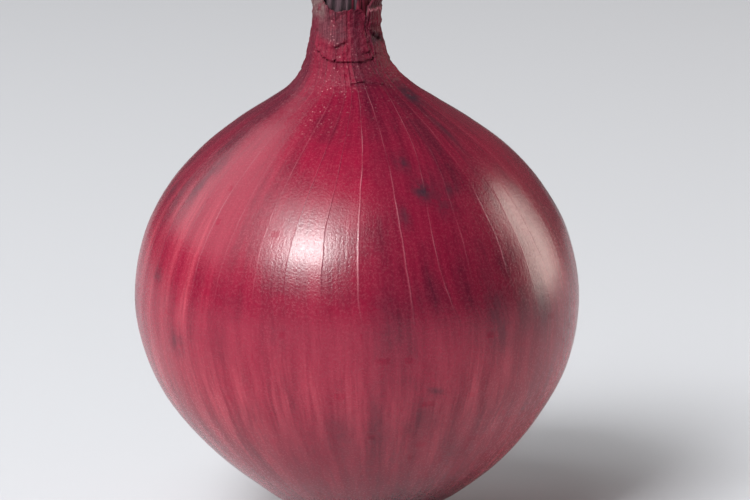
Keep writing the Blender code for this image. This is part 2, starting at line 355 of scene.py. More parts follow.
def tuck_at(azimuth, height):
    """Tucks across the neck: how far they stand out here, and how dark it is under them."""
    stand, shade = 0.0, 0.0
    for size, *line in NECK_TUCKS:
        middle = (line[0][0] + line[-1][0]) / 2
        here = middle + turn_from(azimuth, middle)
        if line[0][0] < here < line[-1][0]:
            (level,) = between(line, here)
            rise = height - level - 0.07 * noise.noise(Vector((azimuth * 0.22, level, 0.0)))
            reach = smooth_step(min(here - line[0][0], line[-1][0] - here) / 9)
            if rise > 0:
                stand += size * reach * bump_shape(rise, TUCK_LAP)
            else:
                stand -= 0.7 * size * reach * bump_shape(rise, TUCK_UNDERCUT)
            shade += 4.0 * size * reach * bump_shape(rise + 0.06, TUCK_SHADE)
    return stand, min(shade, DEEPEST_TUCK_SHADE)


def wrinkle_at(azimuth, height):
    """Fine wrinkles of the gathered neck: short ones across, longer ones along."""
    turn = math.radians(azimuth)
    ring = Vector((math.sin(turn), -math.cos(turn), 0.0))
    across = noise.noise(ring * 2.2 + Vector((0.0, 0.0, height * 3.6)))
    along = noise.noise(ring * 9.0 + Vector((4.0, 0.0, height * 0.8)))
    fine = noise.noise(ring * 6.0 + Vector((0.0, 9.0, height * 5.0)))
    return 0.045 * across + 0.045 * along + 0.035 * fine


def tear_at(azimuth, height):
    """The ragged hollow where a strip of the collar has come away at the right."""
    centre, level, half_width = TORN_STRIP
    across = turn_from(azimuth, centre) / half_width
    near = (height - level + 0.40 * across) / 0.24
    if abs(across) > 1 or abs(near) > 2:
        return 0.0
    return (1 - across * across) * math.exp(-near * near)


def flap_at(azimuth, height):
    """The loose outer layer right of the crack: its share of full, and how far below its edge this is."""
    first, last = FLAP_SIDES
    if not first < azimuth < last:
        return 0.0, 0.0
    side = smooth_step((azimuth - first - 1.4) / 1.6) * smooth_step((last - 8 - azimuth) / 10)
    ragged = noise.noise(Vector((azimuth * 0.3, 0.0, 2.0)))
    ragged += 0.5 * noise.noise(Vector((azimuth, 0.0, 2.0)))
    return side, FLAP_EDGE_HEIGHT + 0.07 * ragged - height


def skin_relief(azimuth, height, offset):
    """How far the skin stands out from its outline at an offset from the nearest vein, in millimetres."""
    turn = math.radians(azimuth)
    body = smooth_step((height - 1.6) / 3.0)
    neck = smooth_step((height - NECK_FOOT_HEIGHT) / 1.2)
    swell = 0.5 + 0.5 * math.cos(math.tau * offset)
    relief = VEIN_RELIEF * body * (1 - neck) * swell
    relief += body * (1 - 0.75 * neck) * lump_at(azimuth, height)
    if neck > 0:
        around_neck = Vector((math.cos(turn) * 3.0, math.sin(turn) * 3.0, height * 0.35))
        gather = 0.55 + 0.9 * noise.noise(around_neck)
        crest = smooth_step(1 - abs(offset) / 0.30)
        tuck, _ = tuck_at(azimuth, height)
        crumple = PLEAT_RELIEF * crest * gather + tuck + wrinkle_at(azimuth, height)
        flap, below_edge = flap_at(azimuth, height)
        layer = smooth_step((height - 27.7) / 0.35) * smooth_step(below_edge / 0.04 + 0.5)
        flare = 0.16 * smooth_step((height - 28.5) / 0.9)
        relief += neck * crumple - 0.15 * tear_at(azimuth, height) + flap * (0.13 * layer + flare)
    return relief


def rim_rise(azimuth):
    """The height of the torn rim over RIM_HEIGHT, with ragged teeth."""
    wrapped = math.remainder(azimuth, 360)
    (rise,) = between(RIM_PROFILE, wrapped)
    turn = math.radians(azimuth)
    coarse = noise.noise(Vector((math.radians(wrapped) * 4.0, 2.7, 0.0)))
    ring = Vector((math.sin(turn), math.cos(turn), 0.0))
    teeth = noise.noise(ring * 7.0 + Vector((0.0, 0.0, 5.0)))
    fine = noise.noise(ring * 21.0 + Vector((0.0, 0.0, 9.0)))
    return rise + 0.10 * coarse + 0.13 * teeth + 0.06 * fine


def collar_height(azimuth, height):
    """Stretches the collar above its foot so that it ends at the torn rim."""
    if height <= COLLAR_FOOT_HEIGHT:
        return height
    share = (height - COLLAR_FOOT_HEIGHT) / (RIM_HEIGHT - COLLAR_FOOT_HEIGHT)
    return height + share * rim_rise(azimuth)


outer_rings = evenly_spaced(
    outline_curve(), lambda height: BODY_RING_STEP if height < NECK_RINGS_HEIGHT else NECK_RING_STEP
)
rim_radius = outer_rings[-1].x
seat_rings = [Vector((radius, height)) for height, radius in SEAT_OUTLINE]
collar_rings = []
for step in range(COLLAR_STEPS + 1):
    drop = step / COLLAR_STEPS
    inner = COLLAR_BORE + (rim_radius - COLLAR_PAPER - COLLAR_BORE) * (1 - drop) ** 1.3
    collar_rings.append(Vector((inner, RIM_HEIGHT + (COLLAR_FOOT_HEIGHT - RIM_HEIGHT) * drop)))
rings = (
    [Vector((0.0, SEAT_OUTLINE[0][0])), *seat_rings, *outer_rings]
    + [Vector((rim_radius - COLLAR_PAPER / 2, RIM_HEIGHT + 0.04)), *collar_rings]
    + [Vector((COLLAR_BORE - 0.05, COLLAR_FLOOR_HEIGHT)), Vector((0.0, COLLAR_FLOOR_HEIGHT))]
)
FIRST_OUTER = 1 + len(seat_rings)
LAST_OUTER = FIRST_OUTER + len(outer_rings) - 1


def spin_outline(name, rings, columns):
    """One vertex, drawn out along an outline and spun round the axis, that keeps its ring's number."""
    bpy.ops.object.select_all(action="DESELECT")
    bpy.ops.mesh.primitive_plane_add(size=MM, enter_editmode=True)
    bpy.ops.mesh.merge(type="CENTER")
    bpy.ops.transform.translate(value=(rings[0].x * MM, 0, rings[0].y * MM))
    for here, there in zip(rings, rings[1:]):
        move = ((there.x - here.x) * MM, 0, (there.y - here.y) * MM)
        bpy.ops.mesh.extrude_region_move(TRANSFORM_OT_translate={"value": move})
    bpy.ops.object.mode_set(mode="OBJECT")
    spun = bpy.context.object
    spun.name = spun.data.name = name
    ring_mark = spun.data.attributes.new("ring", "INT", "POINT")
    for vert, ring in zip(spun.data.vertices, ring_mark.data):
        where = Vector((vert.co.x, vert.co.z)) / MM
        ring.value = min(range(len(rings)), key=lambda number: (rings[number] - where).length)
    bpy.ops.object.mode_set(mode="EDIT")
    bpy.ops.mesh.select_all(action="SELECT")
    bpy.ops.mesh.spin(steps=columns, angle=math.tau, center=(0, 0, 0), axis=(0, 0, 1))
    bpy.ops.mesh.select_all(action="SELECT")
    bpy.ops.mesh.remove_doubles(threshold=WELD_DISTANCE)
    bpy.ops.mesh.normals_make_consistent(inside=False)
    bpy.ops.object.mode_set(mode="OBJECT")
    return spun


skin = spin_outline("outer_skin", rings, COLUMNS)

# How far each ring lies along the outline from the first, and where every vein crosses it
walked = [0.0]
for here, there in zip(rings, rings[1:]):
    walked.append(walked[-1] + (there - here).length)
ring_veins = [[vein_azimuth(vein, ring.y) for vein in range(VEIN_COUNT + 1)] for ring in rings]

bruises = list(BRUISES)
for number in range(SEEDED_BRUISES):
    azimuth = random.uniform(84, 318)
    height = random.uniform(4, 23)
    size = random.uniform(0.5, 1.0) ** 2
    half_height = 1.6 * size * random.uniform(0.5, 1.3)
    bruises.append((azimuth, height, 4.5 * size, half_height, random.uniform(0.3, 0.8)))


def paint(mesh, name, values, kind="FLOAT"):
    """Stores one number for every vertex, or a vector's three in turn, for the material to read."""
    layer = mesh.attributes.new(name, kind, "POINT")
    layer.data.foreach_set("vector" if kind == "FLOAT_VECTOR" else "value", values)


def vein_marks(line, offset, height):
    """How light and how dark the hairline of a vein is here, with a painted glint on its crest and painted
    shade just to its right, and how far it stands out.
    """
    light, dark = VEIN_MARKS[line]
    seen = smooth_step((height - 13.6 - 2.0 * noise.noise(Vector((line * 3.1, 0.0, 0.0)))) / 3.0)
    broken = 0.62 + 0.9 * noise.noise(Vector((line * 5.7, height * 1.1, 3.0)))
    broken *= 1 - 0.55 * smooth_step((height - 24.6) / 1.5)
    broken = min(max(broken, 0.0), 1.0) * seen
    # A light line on the vein's crest, partly painted glint, and a dark one just to its right, partly painted
    # shade
    shown_light = light * broken * bump_shape(offset + 0.002, 0.012)
    shown_dark = dark * broken * bump_shape(offset - 0.016, 0.014)
    stand = HAIRLINE_RELIEF * seen * max(light, dark) * bump_shape(offset, 0.016)
    return shown_light, shown_dark, stand


def bruise_and_foot_shade_at(azimuth, height):
    """How bruised the skin is in its bruises, and the painted shade round the foot of the bulb."""
    total = 0.0
    for centre, level, half_width, half_height, strength in bruises:
        if abs(height - level) < BRUISE_REACH * half_height:
            turn = turn_from(azimuth, centre) / half_width
            if abs(turn) < BRUISE_REACH:
                total += strength * math.exp(-(turn * turn) - ((height - level) / half_height) ** 2)
    # Painted shade round the foot of the bulb, deepest towards the front right
    base = smooth_step((3.4 - height) / 1.6) * (0.45 + 0.35 * math.cos(math.radians(azimuth - 50)))
    return min(total + base, 1.0)


def painted_crease_shade_at(azimuth, height, offset):
    """The painted shade of the neck: under its tucks, in its cracks and the torn strip, above the loose
    flap's edge, and beside its pleats.
    """
    if height < CREASED_HEIGHT:
        return 0.0
    _, shade = tuck_at(azimuth, height)
    for centre, low, high, half_width in COLLAR_CRACKS:
        if low < height < high:
            shade += bump_shape(turn_from(azimuth, centre + 1.5 * (height - low)), half_width)
    shade += 0.85 * tear_at(azimuth, height)
    flap, below_edge = flap_at(azimuth, height)
    # Painted shade on the wall above the loose flap's torn edge
    shade += flap * smooth_step(-below_edge / 0.06) * (0.45 + 0.45 * bump_shape(below_edge + 0.06, 0.07))
    turn = math.radians(azimuth)
    patchy = 0.5 + noise.noise(Vector((math.cos(turn) * 4.0, math.sin(turn) * 4.0, height * 0.9)))
    # Painted shade in a line just to the right of each pleat's crest
    shade += 0.75 * patchy * bump_shape(offset - 0.02, 0.035) * smooth_step((height - CREASED_HEIGHT) / 0.8)
    return min(max(shade, 0.0), 1.0)


def specks_and_sheen_at(azimuth, height):
    """Pale flecks round the foot of the neck, most at the left, where they stand partly for a painted sheen.
    """
    ring = smooth_step((height - 21.4) / 3.2) * (1 - 0.5 * smooth_step((height - 26.5) / 1.5))
    return ring * (0.22 + 0.78 * smooth_step((6 - azimuth) / 40))


def withered_at(azimuth, height):
    """Grey-brown papery skin on the neck: a patch at the front left, a band below the rim elsewhere."""
    patch_foot = 26.6 + 0.012 * abs(turn_from(azimuth, -16))
    patch = smooth_step((34 - abs(turn_from(azimuth, -27))) / 10) * smooth_step((height - patch_foot) / 0.5)
    away_from_flap = smooth_step((abs(turn_from(azimuth, 55)) - 52) / 25)
    rim = smooth_step((height - 27.9) / 0.9) * (0.15 + 0.85 * away_from_flap)
    back = smooth_step((abs(turn_from(azimuth, 10)) - 105) / 30) * smooth_step((height - 26.0) / 1.2)
    return max(0.8 * patch, 0.7 * rim, 0.85 * back)


def bleached_at(azimuth, height):
    """The straw-grey scraps at the rim, highest at the left."""
    left = smooth_step((34 - abs(turn_from(azimuth, -66))) / 14) * smooth_step((height - 27.9) / 0.9)
    back = max(0.0, 1 - abs(turn_from(azimuth, 140)) / 40) * smooth_step((height - 28.0) / 0.8)
    return 0.90 * max(left, back)


def rose_and_painted_light_at(azimuth, height, line, offset):
    """The rose stripes of the lower half, one between each two veins, and of both flanks higher up: partly
    the skin's paler colour, partly painted light, as shading across the ribs, reflection of the floor and
    light on the flanks.
    """
    low = smooth_step((14.6 - height) / 6.5)
    # Painted shade: less rose low down at the front right
    low *= 1 - 0.6 * smooth_step((5.0 - height) / 2.5) * smooth_step((azimuth + 5) / 30)
    # Painted light: more rose towards both flanks
    side = 0.42 + 0.53 * smooth_step((-azimuth - 20) / 40) + 0.60 * smooth_step((azimuth - 10) / 30)
    side += 0.60 * smooth_step((azimuth - 40) / 25) * smooth_step((140 - azimuth) / 30)
    # Each stripe paints light and shade across the rib between two veins
    stripe = 0.5 - 0.5 * math.cos(math.tau * (offset - 0.18))
    wander = 0.75 + 0.8 * noise.noise(Vector((line * 2.3, height * 0.16, 8.0)))
    # Painted light on the flanks higher up: a veil at the left and a sheen at the right
    left = smooth_step((-azimuth - 32) / 20) * smooth_step((azimuth + 140) / 30)
    left *= smooth_step((21.5 - height) / 4)
    right = smooth_step((azimuth - 54) / 16) * smooth_step((140 - azimuth) / 30)
    right *= smooth_step((18.5 - height) / 4)
    lower = low * side * (0.50 + 0.50 * stripe)
    higher = max(0.55 * left * stripe**2, right * (0.45 + 0.35 * stripe))
    return min(max(max(lower, higher) * wander, 0.0), 1.0)


def pigment_and_shade_at(azimuth, height):
    """Where the colour is deepest: both shoulders, a belt, the foot at the right, and round the neck; the
    foot is painted shade, and the right shoulder partly painted shade, away from the light.
    """
    # Partly painted shade on the right shoulder, away from the light
    right = smooth_step((azimuth - 1) / 9) * smooth_step((72 - azimuth) / 30)
    belt = smooth_step((azimuth + 42) / 24) * smooth_step((70 - azimuth) / 30)
    foot = smooth_step((azimuth + 5) / 30) * smooth_step((110 - azimuth) / 40)
    left = smooth_step((-46 - azimuth) / 18) * smooth_step((azimuth + 130) / 30)
    wine = 0.48 * right * smooth_step((height - 11.5) / 3.5)
    wine += 0.12 * belt * bump_shape(height - 13.6, 1.9)
    # Painted shade at the foot on the right
    wine += 0.65 * foot * smooth_step((5.5 - height) / 3.0)
    wine += 0.45 * left * smooth_step((height - 16.5) / 2.5)
    wine += 0.32 * smooth_step((height - 21.5) / 2.5)
    return min(wine, 1.0)


MARKS = "vein_light vein_dark bruise withered bleached blush papery crease specks wine".split()
marks = {name: [] for name in MARKS}
places = []
ring_numbers = [0] * len(skin.data.vertices)
skin.data.attributes["ring"].data.foreach_get("value", ring_numbers)
for vert, number in zip(skin.data.vertices, ring_numbers):
    ring_radius, height = rings[number]
    column = round(math.atan2(vert.co.y, vert.co.x) / math.tau * COLUMNS) % COLUMNS
    vein, place = divmod(column, len(COLUMN_SHARES))
    share = COLUMN_SHARES[place]
    line, offset = (vein, share) if share < 0.5 else (vein + 1, share - 1)
    veins = ring_veins[number]
    azimuth = veins[vein] + (veins[vein + 1] - veins[vein]) * share
    wrapped = math.remainder(azimuth, 360)
    top = collar_height(azimuth, height)
    light, dark, stand = vein_marks(line, offset, height)
    flap, below_edge = flap_at(wrapped, top)
    # A painted highlight along the loose flap's torn edge, stored with the veins' light lines
    light = max(light, 0.6 * flap * bump_shape(below_edge - 0.04, 0.05))
    radius = ring_radius
    if FIRST_OUTER <= number <= LAST_OUTER:
        radius += skin_relief(wrapped, top, offset) + stand
    elif number > LAST_OUTER and ring_radius > COLLAR_BORE - 0.04:
        # The inner face of the collar follows the outer one, and less and less of it further down
        follow = smooth_step((height - COLLAR_FOOT_HEIGHT) / 0.9)
        radius += follow * skin_relief(wrapped, top, offset)
    vert.co = around(azimuth, radius, top) * MM
    turn = math.tau * (vein + share) / VEIN_COUNT
    places += (math.cos(turn), math.sin(turn), walked[number] / (BULB_DIAMETER / 2))
    inside = number > LAST_OUTER + 1
    marks["vein_light"].append(0.0 if inside else light)
    marks["vein_dark"].append(0.0 if inside else dark)
    marks["bruise"].append(0.0 if inside else bruise_and_foot_shade_at(azimuth, top))
    marks["crease"].append(0.0 if inside else painted_crease_shade_at(azimuth, top, offset))
    marks["specks"].append(specks_and_sheen_at(azimuth, top))
    marks["wine"].append(pigment_and_shade_at(wrapped, height))
    marks["withered"].append(1.0 if inside else withered_at(azimuth, top))
    marks["bleached"].append(0.35 if inside else bleached_at(azimuth, top))
    marks["papery"].append(0.85 * smooth_step((height - 23.6) / 2.2))
    marks["blush"].append(rose_and_painted_light_at(wrapped, height, line, offset))
for name, values in marks.items():
    paint(skin.data, name, values)
paint(skin.data, "skin_place", places, "FLOAT_VECTOR")
skin.data.attributes.remove(skin.data.attributes["ring"])
bpy.ops.object.shade_smooth_by_angle(angle=SMOOTH_ANGLE)


def linear(sheet_hex):
    """An sRGB hex colour as Blender's linear red, green, blue and alpha."""
    parts = [int(sheet_hex[i : i + 2], 16) / 255 for i in (1, 3, 5)]
    return (*[c / 12.92 if c <= 0.04045 else ((c + 0.055) / 1.055) ** 2.4 for c in parts], 1.0)


def add_node(tree, kind, inputs=None, **settings):
    """Adds a node, makes its settings, and links or fills its inputs, which are named or numbered.

    A Mix node takes its share as 0, its two numbers as 2 and 3, and its two colours as 6 and 7.
    """
    node = tree.nodes.new(kind)
    for name, value in settings.items():
        setattr(node, name, value)
    for key, value in (inputs or {}).items():
        if isinstance(value, bpy.types.NodeSocket):
            tree.links.new(value, node.inputs[key])
        else:
            node.inputs[key].default_value = value
    return node


def new_material(piece, name):
    """Gives a piece one new material, and returns its tree and its shader."""
    material = bpy.data.materials.new(name)
    material.use_nodes = True
    piece.data.materials.clear()
    piece.data.materials.append(material)
    return material.node_tree, material.node_tree.nodes["Principled BSDF"]


# Dry onion scale: a cured leaf membrane, smooth and waxy, so it is glossy in a soft, grained way.
# Long cells and fibres run with the veins, the red lies in the outer cells and is streaked, and
# bruised or withered places turn dull and grey-brown.
# Its colour also holds painted light: glints and shade along the veins, shade in the neck's creases and round
# the foot, and light and reflection in the rose stripes and the neck's pale flecks.
tree, shader = new_material(skin, "waxy dry onion scale")
place = add_node(tree, "ShaderNodeAttribute", attribute_name="skin_place").outputs["Vector"]
thing = add_node(tree, "ShaderNodeTexCoord").outputs["Object"]
mark = {
    name: add_node(tree, "ShaderNodeAttribute", attribute_name=name).outputs["Fac"] for name in MARKS
}

# One unit of skin_place is the bulb's radius of 12 mm: streaks 1.1 mm wide, ribbons 0.35 mm wide and
# fibres 0.16 mm wide, each many times as long
along_skin = {}
for name, scale, detail, roughness in (
    ("streaks", (11, 11, 1.1), 4.0, 0.55),
    ("ribbons", (34, 34, 2.4), 3.0, 0.6),
    ("fibres", (75, 75, 5), 2.0, 0.6),
):
    drawn = add_node(tree, "ShaderNodeMapping", {"Vector": place, "Scale": scale}).outputs[0]
    along_skin[name] = add_node(
        tree, "ShaderNodeTexNoise", {"Vector": drawn, "Scale": 1.0, "Detail": detail, "Roughness": roughness}
    ).outputs[0]
# Clouds of pigment 4 mm across, ragged patches of 0.55 mm, and the skin's cells, drawn 0.13 mm across,
# which is coarse, to show. Wrinkles of the papery neck 0.3 mm apart. Pale flecks of 0.12 mm, partly painted
# sheen.
all_over = {}
for name, size, detail, roughness in (
    ("clouds", 4.0, 4.0, 0.6),
    ("cells", 0.13, 2.0, 0.7),
    ("patches", 0.55, 5.0, 0.65),
    ("wrinkles", 0.3, 4.0, 0.65),
    ("pale_speck_noise", 0.12, 0.0, 0.5),
):
    all_over[name] = add_node(
        tree,
        "ShaderNodeTexNoise",
        {"Vector": thing, "Scale": 1000 / size, "Detail": detail, "Roughness": roughness},
    ).outputs[0]

fibre_noise = add_node(
    tree, "ShaderNodeMix", {0: 0.5, 2: along_skin["ribbons"], 3: along_skin["fibres"]}, data_type="FLOAT"
).outputs[0]
streak, cloud, fibre = (
    add_node(
        tree,
        "ShaderNodeMapRange",
        {"Value": value, "From Min": low, "From Max": high},
        interpolation_type="SMOOTHSTEP",
    ).outputs[0]
    for value, low, high in (
        (along_skin["streaks"], 0.36, 0.66),
        (all_over["clouds"], 0.35, 0.68),
        (fibre_noise, 0.38, 0.62),
    )
)
# Bruised places and the painted shade round the foot, withered and bleached places have ragged edges
ragged = {}
for name, low, high in (("bruise", 0.28, 0.52), ("withered", 0.24, 0.52), ("bleached", 0.36, 0.56)):
    patch = add_node(
        tree, "ShaderNodeMapRange", {"Value": all_over["patches"], "From Min": low, "From Max": high}
    ).outputs[0]
    ragged[name] = add_node(
        tree, "ShaderNodeMath", {0: mark[name], 1: patch}, operation="MULTIPLY"
    ).outputs[0]

depth = add_node(tree, "ShaderNodeMath", {0: streak, 1: cloud}, operation="MULTIPLY").outputs[0]
# Deeper still where the wine mark is: pigment, and painted shade on the right shoulder and at the foot
depth = add_node(
    tree, "ShaderNodeMath", {0: depth, 1: 0.55, 2: mark["wine"]}, operation="MULTIPLY_ADD", use_clamp=True
).outputs[0]
fine_streak = add_node(tree, "ShaderNodeMath", {0: fibre, 1: 0.13}, operation="MULTIPLY").outputs[0]
cell_tint = add_node(
    tree,
    "ShaderNodeMapRange",
    {"Value": all_over["cells"], "From Min": 0.45, "From Max": 0.75, "To Max": 0.10},
).outputs[0]
rose = add_node(tree, "ShaderNodeMath", {0: fibre, 1: 0.72, 2: 0.34}, operation="MULTIPLY_ADD").outputs[0]
rose = add_node(tree, "ShaderNodeMath", {0: mark["blush"], 1: rose}, operation="MULTIPLY").outputs[0]
withered_colour = add_node(
    tree, "ShaderNodeMix", {0: fibre, 6: linear("#34141f"), 7: linear("#5e343b")}, data_type="RGBA"
).outputs[2]
speck = add_node(
    tree,
    "ShaderNodeMapRange",
    {"Value": all_over["pale_speck_noise"], "From Min": 0.74, "From Max": 0.785, "To Max": 0.5},
).outputs[0]
speck = add_node(tree, "ShaderNodeMath", {0: speck, 1: mark["specks"]}, operation="MULTIPLY").outputs[0]

# The crimson of the skin, and each colour that lies over the last with its share
colour = linear("#700725")
for share, over in (
    # Deep wine: pigment, with painted shade on the right shoulder and at the foot
    (depth, linear("#3f0519")),
    (fine_streak, linear("#8e263c")),
    (cell_tint, linear("#a04450")),
    # Rose stripes: partly the skin's paler colour, partly painted rib shading, floor reflection and light on
    # the flanks
    (rose, linear("#ad4552")),
    # The veins' darker colour, with painted shade beside their crests
    (mark["vein_dark"], linear("#450a1f")),
    # The veins' paler colour, with painted glints on their crests and a painted highlight on the loose flap's
    # torn edge
    (mark["vein_light"], linear("#c9808a")),
    # Bruises, and painted shade round the foot of the bulb
    (ragged["bruise"], linear("#2c1420")),
    (ragged["withered"], withered_colour),
    (ragged["bleached"], linear("#655251")),
    # Painted shade under the neck's tucks, in its cracks and tear, above the flap's edge and beside its
    # pleats
    (mark["crease"], linear("#330d18")),
    # Pale flecks at the neck's foot, standing partly for a painted sheen at its left
    (speck, linear("#cf9497")),
):
    colour = add_node(tree, "ShaderNodeMix", {0: share, 6: colour, 7: over}, data_type="RGBA").outputs[2]
tree.links.new(colour, shader.inputs["Base Color"])

dull = add_node(
    tree, "ShaderNodeMath", {0: ragged["withered"], 1: ragged["bruise"]}, operation="MAXIMUM"
).outputs[0]
rough = add_node(
    tree,
    "ShaderNodeMapRange",
    {"Value": all_over["cells"], "From Min": 0.3, "From Max": 0.7, "To Min": 0.20, "To Max": 0.31},
).outputs[0]
for share, added in ((mark["papery"], 0.24), (dull, 0.12)):
    rough = add_node(
        tree, "ShaderNodeMath", {0: share, 1: added, 2: rough}, operation="MULTIPLY_ADD"
    ).outputs[0]
tree.links.new(rough, shader.inputs["Roughness"])
shader.inputs["IOR"].default_value = 1.44

# Relief too fine for the mesh: fibres 6 micrometres high, cells 11, and on the papery neck wrinkles of 200
relief = add_node(
    tree, "ShaderNodeBump", {"Height": along_skin["fibres"], "Distance": 0.006 * MM, "Strength": 1.0}
).outputs[0]
for height, distance, strength in (
    (all_over["cells"], 0.011 * MM, 1.0),
    (all_over["wrinkles"], 0.20 * MM, mark["papery"]),
):
    relief = add_node(
        tree,
        "ShaderNodeBump",
        {"Height": height, "Distance": distance, "Strength": strength, "Normal": relief},
    ).outputs[0]
tree.links.new(relief, shader.inputs["Normal"])

# Towards the neck, and low down at the right, the scale loses its wax in patches, turns papery and
# mirrors less and less.
for name, ior in (("half dry onion scale", 1.33), ("papery onion scale", 1.22)):
    duller = skin.data.materials[0].copy()
    duller.name = name
    duller.node_tree.nodes["Principled BSDF"].inputs["IOR"].default_value = ior
    skin.data.materials.append(duller)
for face in skin.data.polygons:
    where = face.center / MM
    patches = 0.7 * noise.noise(where * 2.2) + 0.4 * noise.noise(where * 8.0)
    dryness = 2 * smooth_step((where.z - 22.6) / 2.4) + patches
    azimuth = math.degrees(math.atan2(where.x, -where.y))
    dryness += 1.0 * smooth_step((azimuth - 58) / 18) * smooth_step((14 - where.z) / 4)
    dryness += 1.2 * smooth_step((azimuth - 20) / 30) * smooth_step((9 - where.z) / 4)
    face.material_index = min(max(round(dryness), 0), 2)

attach(skin, "root")
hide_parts("bulb")


# Dried inner leaves: the bases of the onion's leaves, shrivelled to ragged scrolls of paper, standing
# in the torn collar round a pleated core. The one at the right is still wine red, the others have more
# or less gone grey-brown, and all are striped by their fibres.

LEAF_FOOT_HEIGHT = 27.2
LEAF_CORE_RADIUS = 0.82
LEAF_STAND = 1.36
LEAF_PAPER = 0.12
LEAF_CORE_HEIGHT = 30.2
# Azimuth, half width in degrees, tip height, lean outwards at the tip, twist in degrees, redness
LEAVES = (
    (-28, 52, 31.6, 0.14, 16, 0.05),
    (62, 50, 31.1, 0.30, -12, 0.95),
    (-118, 46, 30.9, 0.22, 20, 0.30),
    (148, 54, 32.1, 0.18, -18, 0.10),
    (205, 34, 30.4, 0.45, 10, 0.60),
)
LEAF_COLUMNS = 44
LEAF_ROWS = 46
LAYERS_OF_A_LEAF = 2
LAYER_GAP = 0.26
LEAF_FREE_HEIGHT = 29.4
CORE_LEVELS = (0.08, 0.16, 0.24, 0.32, 0.40, 0.50, 0.58, 0.66, 0.72, 0.78, 0.84, 0.89, 0.93, 0.97)

leaf_draw = random.Random(5)
sheets = []


def leaf_surface(leaf, notch, layer, across, along):
    """A point of a dried leaf: across from -1 to 1, along from 0 at the foot to 1 at the torn tip."""
    centre, half_width, tip, lean, twist, _ = leaf
    seed = centre * 0.37 + layer * 5.0
    foot = LEAF_FOOT_HEIGHT + 0.25
    height = foot + (tip - 0.35 * layer - foot) * along
    height -= along * (0.55 * across * across + 0.45 * math.exp(-(((across - notch) * 4) ** 2)))
    ragged = noise.noise(Vector((across * 5.0, seed, 0.0)))
    ragged += 0.6 * noise.noise(Vector((across * 14.0, seed, 4.0)))
    height += along * along * 0.26 * (ragged - 0.35)
    narrowing = 1 - 0.45 * along * along
    azimuth = centre + twist * along + half_width * narrowing * across * (1 - 0.15 * layer)
    free = smooth_step((height - LEAF_FREE_HEIGHT) / 1.8)
    pleat = 0.035 * math.cos(across * 17.0 + seed)
    pleat += 0.03 * noise.noise(Vector((across * 7.0, height * 0.5, seed)))
    crumple = 0.07 * along * noise.noise(Vector((across * 2.4, height * 1.5, seed + 3.0)))
    curl = 0.10 * abs(across) ** 5 * (1 if layer == 0 else -1) * along
    radius = LEAF_STAND - LAYER_GAP * layer + lean * free + pleat + crumple - curl
    return around(azimuth, radius, height)


for leaf in LEAVES:
    notch = leaf_draw.uniform(-0.5, 0.5)
    for layer in range(LAYERS_OF_A_LEAF):
        bpy.ops.object.select_all(action="DESELECT")
        bpy.ops.mesh.primitive_grid_add(x_subdivisions=LEAF_COLUMNS, y_subdivisions=LEAF_ROWS, size=2)
        sheet = bpy.context.object
        across_along = [(v.co.x, (v.co.y + 1) / 2) for v in sheet.data.vertices]
        places = []
        for vert, (across, along) in zip(sheet.data.vertices, across_along):
            vert.co = leaf_surface(leaf, notch, layer, across, along) * MM
            places += (across * leaf[1] / 60, leaf[0] * 0.13 + layer, along * (leaf[2] - LEAF_FOOT_HEIGHT))
        paint(sheet.data, "leaf_place", places, "FLOAT_VECTOR")
        paint(sheet.data, "redness", [max(0.0, leaf[5] - 0.25 * layer)] * len(sheet.data.vertices))
        paint(sheet.data, "along", [along for _, along in across_along])
        sheets.append(sheet)

# The core is a cylinder drawn up into a blunt, pleated and twisted scroll with a ragged lip
bpy.ops.object.select_all(action="DESELECT")
bpy.ops.mesh.primitive_cylinder_add(
    vertices=84, radius=LEAF_CORE_RADIUS, depth=1.0, end_fill_type="NOTHING", location=(0, 0, 0.5)
)
core = bpy.context.object
bpy.ops.object.transform_apply(location=True, rotation=True, scale=True)
bpy.ops.object.mode_set(mode="EDIT")
for level in CORE_LEVELS:
    bpy.ops.mesh.select_all(action="SELECT")
    bpy.ops.mesh.bisect(plane_co=(0, 0, level), plane_no=(0, 0, 1))
bpy.ops.object.mode_set(mode="OBJECT")
places = []
alongs = []
for vert in core.data.vertices:
    x, y, along = vert.co
    turn = math.atan2(x, -y)
    foot = LEAF_FOOT_HEIGHT + 0.05
    height = foot + (LEAF_CORE_HEIGHT - foot) * along
    pleat = 1 + 0.07 * math.cos(7 * turn) + 0.035 * math.cos(21 * turn + 1.0)
    lip = noise.noise(Vector((math.cos(turn) * 2.6, math.sin(turn) * 2.6, 0.0)))
    height += along**3 * 0.55 * (lip - 0.3)
    radius = (LEAF_CORE_RADIUS - 0.06) * pleat * (1 - 0.42 * smooth_step((along - 0.45) / 0.55))
    azimuth = math.degrees(turn) + 12.6 * (height - LEAF_FOOT_HEIGHT)
    vert.co = around(azimuth, radius, height) * MM
    places += (math.cos(turn), math.sin(turn), along * 3.0)
    alongs.append(along)
paint(core.data, "leaf_place", places, "FLOAT_VECTOR")
paint(core.data, "redness", [0.15] * len(alongs))
paint(core.data, "along", alongs)
sheets.append(core)


def pick(*pieces):
    """Selects these pieces alone, and makes the last one active."""
    bpy.ops.object.select_all(action="DESELECT")
    for piece in pieces:
        piece.select_set(True)
    bpy.context.view_layer.objects.active = pieces[-1]


for sheet in sheets:
    pick(sheet)
    paper = sheet.modifiers.new("paper", "SOLIDIFY")
    paper.thickness = LEAF_PAPER * MM
    paper.offset = 0.0
    bpy.ops.object.modifier_apply(modifier="paper")
    bpy.ops.object.shade_smooth_by_angle(angle=SMOOTH_ANGLE)
pick(*sheets)
bpy.ops.object.join()
leaves = core
leaves.name = leaves.data.name = "dried_leaf_bases"

